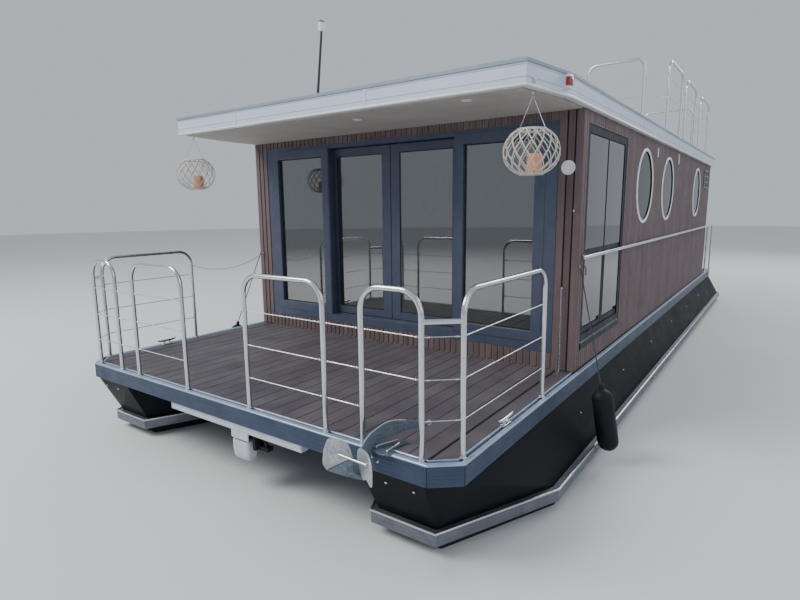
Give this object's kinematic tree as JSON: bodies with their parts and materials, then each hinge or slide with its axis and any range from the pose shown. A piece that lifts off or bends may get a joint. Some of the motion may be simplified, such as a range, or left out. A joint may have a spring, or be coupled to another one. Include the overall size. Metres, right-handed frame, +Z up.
{
  "type": "houseboat",
  "caption": "Twin-pontoon houseboat with a glazed, slat-clad cabin, sliding front doors, opening side windows, railed bow deck, roof terrace and steering outboard motor.",
  "frame": {"origin": "centre of the boat's outline at the level of the pontoons' flat bottoms", "axes": "+X to port, +Y aft along the boat, +Z up; the bow faces -Y"},
  "size_m": [5.1954, 13.29, 4.6457],
  "materials": {
    "hull_paint": "near-black hull paint, satin",
    "rub_rail": "dull extrusion with a brighter top edge",
    "deck_edge": "blue-grey satin profile with fine lines",
    "deck_boards": "grooved brown composite boards",
    "cladding": "brown composite slats with dark gaps",
    "cabin_floor": "matt planks",
    "roof_sheet": "pale blue-white profiled sheet, satin",
    "soffit_panel": "matt warm grey",
    "frame_paint": "slate blue-grey powder coat",
    "tinted_glass": "dark tinted pane",
    "window_ring": "white satin ring round a dark pane",
    "stainless": "brushed tube",
    "galvanised_steel": "mottled zinc",
    "bow_motor_paint": "white pod and pale beam",
    "motor_paint": "black gloss cowl",
    "propeller_metal": "cast, lightly worn",
    "fender_skin": "soft black skin",
    "wicker": "pale woven cane",
    "lamp_housing": "black housing",
    "red_lens": "clear red lens",
    "green_lens": "clear green lens"
  },
  "bodies": {
    "boat": {"pontoon_port": "hull_paint", "pontoon_starboard": "hull_paint", "rub_rail_port": "rub_rail", "rub_rail_starboard": "rub_rail", "deck_frame": "deck_edge", "deck_beams": "deck_edge", "bow_deck": "deck_boards", "stern_deck": "deck_boards", "wall_port": "cladding", "wall_starboard": "cladding", "wall_front": "cladding", "wall_aft": "cladding", "cabin_floor": "cabin_floor", "roof": "roof_sheet", "soffit": "soffit_panel", "front_frame": "frame_paint", "front_glass_port": "tinted_glass", "front_glass_starboard": "tinted_glass", "side_frame_port": "frame_paint", "side_frame_starboard": "frame_paint", "porthole_port_1": "window_ring", "porthole_port_2": "window_ring", "porthole_port_3": "window_ring", "porthole_starboard_1": "window_ring", "porthole_starboard_2": "window_ring", "porthole_starboard_3": "window_ring", "stern_door_frame": "frame_paint", "bow_rail_port": "stainless", "bow_rail_starboard": "stainless", "side_rail_port": "stainless", "side_rail_starboard": "stainless", "roof_rail": "stainless", "roof_ladder": "stainless", "anchor": "galvanised_steel", "bow_motor": "bow_motor_paint", "motor_bracket": "motor_paint", "fender_port": "fender_skin", "fender_starboard": "fender_skin", "lantern_port": "wicker", "lantern_starboard": "wicker", "mast_light": "lamp_housing", "stern_rail_port": "stainless", "stern_rail_starboard": "stainless"},
    "slide_door_port": {"slide_leaf_port": "frame_paint", "slide_glass_port": "tinted_glass"},
    "slide_door_starboard": {"slide_leaf_starboard": "frame_paint", "slide_glass_starboard": "tinted_glass"},
    "casement_forward_port": {"side_leaf_forward_port": "frame_paint", "side_glass_forward_port": "tinted_glass"},
    "casement_aft_port": {"side_leaf_aft_port": "frame_paint", "side_glass_aft_port": "tinted_glass"},
    "casement_forward_starboard": {"side_leaf_forward_starboard": "frame_paint", "side_glass_forward_starboard": "tinted_glass"},
    "casement_aft_starboard": {"side_leaf_aft_starboard": "frame_paint", "side_glass_aft_starboard": "tinted_glass"},
    "stern_door": {"stern_door_leaf": "frame_paint", "stern_door_glass": "tinted_glass"},
    "motor": {"outboard": "motor_paint"},
    "screw": {"propeller": "propeller_metal"}
  },
  "joints": [
    {"name": "slide_port", "type": "slide", "parent": "boat", "child": "slide_door_port", "axis": [1, 0, 0], "range_m": [0, 0.85]},
    {"name": "slide_starboard", "type": "slide", "parent": "boat", "child": "slide_door_starboard", "axis": [-1, 0, 0], "range_m": [0, 0.82]},
    {"name": "casement_hinge_forward_port", "type": "hinge", "parent": "boat", "child": "casement_forward_port", "pos_m": [2.011, -3.847, 2.4], "axis": [0, 0, 1], "range_deg": [0, 90]},
    {"name": "casement_hinge_aft_port", "type": "hinge", "parent": "boat", "child": "casement_aft_port", "pos_m": [2.011, -2.563, 2.4], "axis": [0, 0, -1], "range_deg": [0, 90]},
    {"name": "casement_hinge_forward_starboard", "type": "hinge", "parent": "boat", "child": "casement_forward_starboard", "pos_m": [-2.011, -3.847, 2.4], "axis": [0, 0, -1], "range_deg": [0, 90]},
    {"name": "casement_hinge_aft_starboard", "type": "hinge", "parent": "boat", "child": "casement_aft_starboard", "pos_m": [-2.011, -2.563, 2.4], "axis": [0, 0, 1], "range_deg": [0, 90]},
    {"name": "stern_door_hinge", "type": "hinge", "parent": "boat", "child": "stern_door", "pos_m": [-0.427, 4.866, 2.2], "axis": [0, 0, 1], "range_deg": [0, 105]},
    {"name": "steering", "type": "hinge", "parent": "boat", "child": "motor", "pos_m": [0, 6.155, 0.95], "axis": [0, 0, 1], "range_deg": [-35, 35]},
    {"name": "propeller_spin", "type": "hinge", "parent": "motor", "child": "screw", "pos_m": [0, 6.535, 0.28], "axis": [0, 1, 0], "continuous": true}
  ]
}
